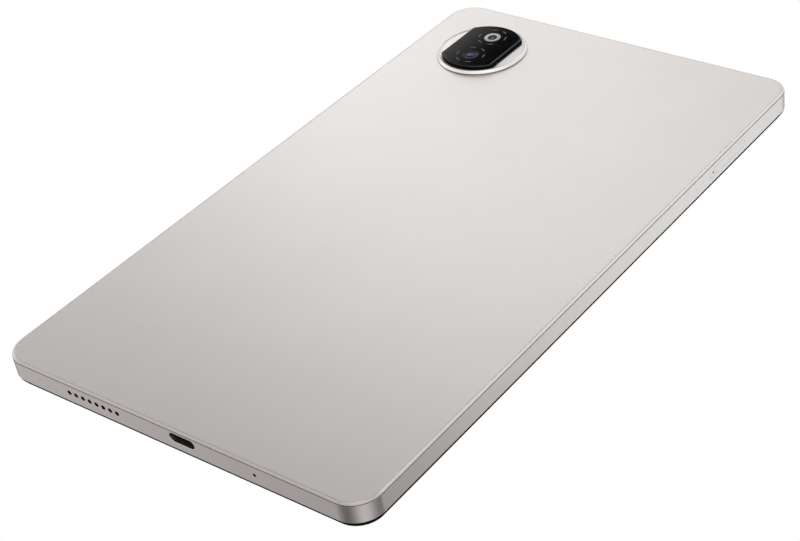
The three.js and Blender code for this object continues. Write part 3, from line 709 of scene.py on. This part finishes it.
# ------------------------------------------------------------------ port
def port():
    y0 = -BODY_L / 2 + 1.7
    rings = []
    for g, y in ((0.30, y0 + 0.08), (0.30, y0 + 7.32), (0.24, y0 + 7.4), (0.06, y0 + 7.4), (0.0, y0 + 7.32), (0.0, y0 + 0.35), (0.05, y0 + 0.1), (0.15, y0), (0.24, y0)):
        rings.append(at_y(pill(8.4 + 2 * g, 2.6 + 2 * g, 16), y, USB_X, USB_Z))
    ob = Part().torus(rings).object("port_socket_shell")
    # The socket's front lip takes the near-black metal: painted shade in the port mouth.
    for poly in ob.data.polygons:
        if poly.center.y / MM < y0 + 0.5:
            poly.material_index = 1
    place(ob, "tablet", [M["socket"], M["bore"]], ["usb_c_shell"])
    t = Part()
    z = USB_Z
    rings = []
    for hx, hz, y in ((3.05, 0.16, y0 + 0.5), (3.25, 0.28, y0 + 0.62), (3.35, 0.35, y0 + 0.95), (3.35, 0.35, y0 + 5.7)):
        rings.append(at_y(rrect(hx, hz, min(0.12, hz * 0.6), 4), y, USB_X, z))
    t.loft(rings)
    t.loft([at_y(pill(8.3 - 2 * g, 2.5 - 2 * g, 12), y, USB_X, z) for g, y in ((0.1, y0 + 5.62), (0.0, y0 + 5.75), (0.0, y0 + 7.3), (0.05, y0 + 7.35))])
    for i in range(12):
        x = USB_X - 2.75 + i * 0.5
        for s in (-1, 1):
            lo, hi = sorted((z + s * 0.33, z + s * 0.372))
            t.box((x - 0.14, y0 + (0.95 if i in (0, 3, 8, 11) else 1.35), lo), (x + 0.14, y0 + 5.5, hi), 0.012, mat=1)
    place(t.object("port_tongue"), "tablet", [P["plastic"], M["gold"]], ["usb_c_tongue"])


port()


# ------------------------------------------------------------------ card tray
def tray():
    x1 = BODY_W / 2
    w, h = 20.5 - 0.07, 2.5 - 0.07
    ob = Part().loft([at_x(pill(w - 2 * g, h - 2 * g, 14), x, TRAY_Y, TRAY_Z) for g, x in (
        (0.05, x1 - 1.5), (0.0, x1 - 1.3), (0.0, x1 - 0.05), (0.012, x1 - 0.012), (0.04, x1))]).object("card_tray_body")
    boolean(ob, Part().box((47.0, 58.7, 4.3), (x1 - 1.2, 74.5, 5.2), 0.18).object("t8"), "UNION")
    cut = Part()
    cut.loft([at_x(circle(0.4 + g, 24), x, EJECT_Y, TRAY_Z) for g, x in ((0.3, x1 + 0.2), (0.08, x1), (0.0, x1 - 0.1), (0.0, x1 - 3))])
    boolean(ob, cut.object("t9"), "DIFFERENCE")
    cut = Part()
    cut.loft([at_z(rrect(5.6, 7.3, 0.8, 6, 53.6, 66.6), z) for z in (4.75, 6.0)])
    boolean(ob, cut.object("t10"), "DIFFERENCE")
    cut = Part()
    cut.loft([at_z(rrect(4.1, 5.1, 0.7, 6, 53.6, 66.6), z) for z in (3.5, 6.0)])
    boolean(ob, cut.object("t11"), "DIFFERENCE")
    place(ob, "card_tray", [M["metal"]], ["card_tray"], 24)


tray()


# ------------------------------------------------------------------ side keys
def key(name, node, body, y, length, flange, nubs, reach):
    left = -BODY_W / 2
    wall = left + WALL
    k = Part()
    face = left - KEY_PROUD
    k.loft([at_x(pill(length - 2 * g, KEY_H - 2 * g, 16), x, y, KEY_Z) for g, x in (
        (0.42, face), (0.28, face + 0.012), (0.15, face + 0.05), (0.06, face + 0.12), (0.0, face + 0.26), (0.0, wall + reach))])
    ob = k.object(name)
    more = Part().box((wall + flange[0], y - flange[2], KEY_Z - 1.5), (wall + flange[1], y + flange[2], KEY_Z + 1.5), 0.1)
    boolean(ob, more.object("t12"), "UNION")
    for dy in nubs:
        nub = Part().box((wall + flange[1] - 0.05, y + dy - 0.7, KEY_Z - 0.7), (wall + flange[3], y + dy + 0.7, KEY_Z + 0.7), 0.12)
        boolean(ob, nub.object("t13"), "UNION")
    place(ob, body, [M["key"]], [node], 24)


key("power_key_cap", "power_button", "power_button", POWER_Y, POWER_LEN - 0.3, (0.15, 0.55, 6.0, 1.15), (0.0,), 0.3)
key("volume_key_cap", "volume_key", "volume_key", VOL_Y, VOL_LEN, (0.3, 0.65, 4.5, 0.7), (), 0.35)


# ------------------------------------------------------------------ finishes of the CAD pieces that stay
STAY = {
    "stamped_steel": M["steel"], "socket_steel": M["socket"], "housing_metal": M["metal"], "ring_metal": M["ring"],
    "black_plastic": P["plastic"], "screen_glass": P["screen"], "camera_window_glass": P["window"], "lens_glass": P["lens"],
    "flash_plastic": P["flash"], "acoustic_mesh": P["mesh"], **I,
}
by_node = {row["node"]: row["material_slot"] for row in frame["record"]["subparts"]}
for n, ob in NODES.items():
    if ob.hide_render:
        continue
    finish = STAY.get(by_node.get(n))
    if finish is None:
        finish = P["plastic"]
        print("no slot for", n)
    if not ob.data.materials:
        ob.data.materials.append(finish)
    for s in ob.material_slots:
        s.material = finish


# ------------------------------------------------------------------ studio
def world():
    """Soft surround: a sum of wide lobes of light, plain white where the camera looks past the object."""
    lobes = [
        (-0.5601, 0.663, 0.4966, 4.259, 48.65), (0.0697, -0.0787, 0.9945, 1.484, 8.885), (0.4821, 0.6772, -0.5559, 1.842, 66.69),
        (-0.8741, 0.2691, -0.4043, -1.21, 12.62), (0.4556, -0.3901, -0.8001, 0.4985, 17.04), (-0.0741, -0.8258, -0.5591, -1.329, 2.338),
        (0.5633, 0.4785, -0.6736, -1.329, 2.584), (0.1841, 0.6378, 0.7479, 1.122, 26.98), (-0.5245, 0.7372, 0.4259, -2.638, 66.69),
        (-0.1108, 0.1784, 0.9777, -2.002, 3.38), (-0.5987, 0.5492, 0.583, -1.935, 66.69), (-0.594, 0.594, -0.543, -0.8384, 8),
        (-0.44, 0.5, 0.746, -0.2, 60),
    ]
    w = bpy.data.worlds.new("studio")
    bpy.context.scene.world = w
    w.use_nodes = True
    t = w.node_tree
    t.nodes.clear()
    co = t.nodes.new("ShaderNodeTexCoord").outputs["Generated"]

    def calc(op, a, b=None, c=None):
        n = t.nodes.new("ShaderNodeMath")
        n.operation = op
        for i, v in enumerate((a, b, c)):
            if v is None:
                continue
            if isinstance(v, (int, float)):
                n.inputs[i].default_value = v
            else:
                t.links.new(v, n.inputs[i])
        return n.outputs[0]

    total = 1.4154
    for x, y, z, amount, k in lobes:
        dot = t.nodes.new("ShaderNodeVectorMath")
        dot.operation = "DOT_PRODUCT"
        t.links.new(co, dot.inputs[0])
        dot.inputs[1].default_value = (x, y, z)
        total = calc("MULTIPLY_ADD", calc("EXPONENT", calc("MULTIPLY_ADD", dot.outputs["Value"], k, -k)), amount, total)
    total = calc("MAXIMUM", total, 0.02)
    lit = t.nodes.new("ShaderNodeMapRange")
    for k, v in (("From Min", 0.9), ("From Max", 1.4), ("To Min", 0.0), ("To Max", 1.0)):
        lit.inputs[k].default_value = v
    t.links.new(total, lit.inputs["Value"])
    tint = t.nodes.new("ShaderNodeCombineXYZ")
    t.links.new(total, tint.inputs[0])
    t.links.new(calc("MULTIPLY", total, calc("MULTIPLY_ADD", lit.outputs["Result"], 0.063, 1.0)), tint.inputs[1])
    t.links.new(calc("MULTIPLY", total, calc("MULTIPLY_ADD", lit.outputs["Result"], 0.092, 1.0)), tint.inputs[2])
    seen = t.nodes.new("ShaderNodeLightPath").outputs["Is Camera Ray"]
    light, white = t.nodes.new("ShaderNodeBackground"), t.nodes.new("ShaderNodeBackground")
    t.links.new(tint.outputs[0], light.inputs["Color"])
    white.inputs["Color"].default_value = (1, 1, 1, 1)
    mix, out = t.nodes.new("ShaderNodeMixShader"), t.nodes.new("ShaderNodeOutputWorld")
    t.links.new(seen, mix.inputs[0])
    t.links.new(light.outputs[0], mix.inputs[1])
    t.links.new(white.outputs[0], mix.inputs[2])
    t.links.new(mix.outputs[0], out.inputs["Surface"])
    w.cycles.sampling_method = "MANUAL"
    w.cycles.sample_map_resolution = 512


def stage_plane(name, verts, shader):
    me = bpy.data.meshes.new(name)
    me.from_pydata(verts, [], [(0, 1, 2, 3)])
    ob = bpy.data.objects.new(name, me)
    bpy.context.scene.collection.objects.link(ob)
    m = bpy.data.materials.new(name)
    m.use_nodes = True
    m.node_tree.nodes.clear()
    shader(m.node_tree)
    me.materials.append(m)
    return ob


def floor():
    def shader(t):
        glow, out = t.nodes.new("ShaderNodeEmission"), t.nodes.new("ShaderNodeOutputMaterial")
        glow.inputs["Color"].default_value = (1, 1, 1, 1)
        t.links.new(glow.outputs[0], out.inputs["Surface"])

    ob = stage_plane("floor", [(-4, -4, -0.0002), (4, -4, -0.0002), (4, 4, -0.0002), (-4, 4, -0.0002)], shader)
    ob.visible_glossy = ob.visible_diffuse = ob.visible_shadow = ob.visible_transmission = False


CAM_POS = Vector((289.5345, -316.0931, 295.8368)) * MM
RIGHT = Vector((0.8169739, 0.5675382, -0.1022446))
DOWN = Vector((0.2708823, -0.5342009, -0.8007823))
AHEAD = Vector((-0.5090937, 0.626522, -0.5901642))


def reflector():
    """Small soft card, seen only in glossy reflections: light on one side, falling to black on the other."""
    p = Vector((CAM_X, CAM_Y, PLATE_TOP)) * MM
    mirrored = Vector((CAM_POS.x, CAM_POS.y, 2 * p.z - CAM_POS.z))
    d = (p - mirrored)
    reach, far = d.length, 1.2
    d.normalize()
    e1 = d.cross(Vector((0, 0, 1))).normalized()
    e2 = e1.cross(d).normalized()
    grow = 1 + far / reach
    # a card point (a, b) shows in the plate at dx = ka a + kb b
    ax, bx = e1.x * grow, e2.x * grow
    ay, by = e1.y * grow, e2.y * grow
    det = ax * by - bx * ay
    ka, kb = by / det, -ay / det

    def shader(t):
        co = t.nodes.new("ShaderNodeTexCoord").outputs["Object"]
        dot = t.nodes.new("ShaderNodeVectorMath")
        dot.operation = "DOT_PRODUCT"
        t.links.new(co, dot.inputs[0])
        dot.inputs[1].default_value = (ka, kb, 0)
        span = t.nodes.new("ShaderNodeMapRange")
        for k, v in (("From Min", 0.0065), ("From Max", -0.0087), ("To Min", 0.0), ("To Max", 1.0)):
            span.inputs[k].default_value = v
        t.links.new(dot.outputs["Value"], span.inputs["Value"])
        power = t.nodes.new("ShaderNodeMath")
        power.operation = "POWER"
        t.links.new(span.outputs["Result"], power.inputs[0])
        power.inputs[1].default_value = 2.1
        level = t.nodes.new("ShaderNodeMath")
        level.operation = "MULTIPLY"
        t.links.new(power.outputs[0], level.inputs[0])
        level.inputs[1].default_value = 0.60
        glow, out = t.nodes.new("ShaderNodeEmission"), t.nodes.new("ShaderNodeOutputMaterial")
        t.links.new(level.outputs[0], glow.inputs["Color"])
        t.links.new(glow.outputs[0], out.inputs["Surface"])

    h = 0.046
    ob = stage_plane("reflector", [(-h, -h, 0), (h, -h, 0), (h, h, 0), (-h, h, 0)], shader)
    rot = Matrix((e1, e2, -d)).transposed().to_4x4()
    ob.matrix_world = Matrix.Translation(p + d * far) @ rot
    ob.visible_camera = ob.visible_diffuse = ob.visible_shadow = ob.visible_transmission = False


def camera():
    data = bpy.data.cameras.new("camera")
    data.sensor_width, data.sensor_fit = 36.0, "HORIZONTAL"
    data.lens = 81.228
    data.shift_x, data.shift_y = -0.15011, -0.0028
    data.clip_start, data.clip_end = 0.01, 20
    ob = bpy.data.objects.new("camera", data)
    bpy.context.scene.collection.objects.link(ob)
    rot = Matrix((RIGHT, -DOWN, -AHEAD)).transposed().to_4x4()
    ob.matrix_world = Matrix.Translation(CAM_POS) @ rot
    bpy.context.scene.camera = ob


world()
floor()
reflector()
camera()
bpy.context.scene.view_settings.view_transform = "Standard"
bpy.context.scene.view_settings.look = "None"

for m in SLOTS:
    if m.users == 0:
        bpy.data.materials.remove(m)

bpy.context.view_layer.update()
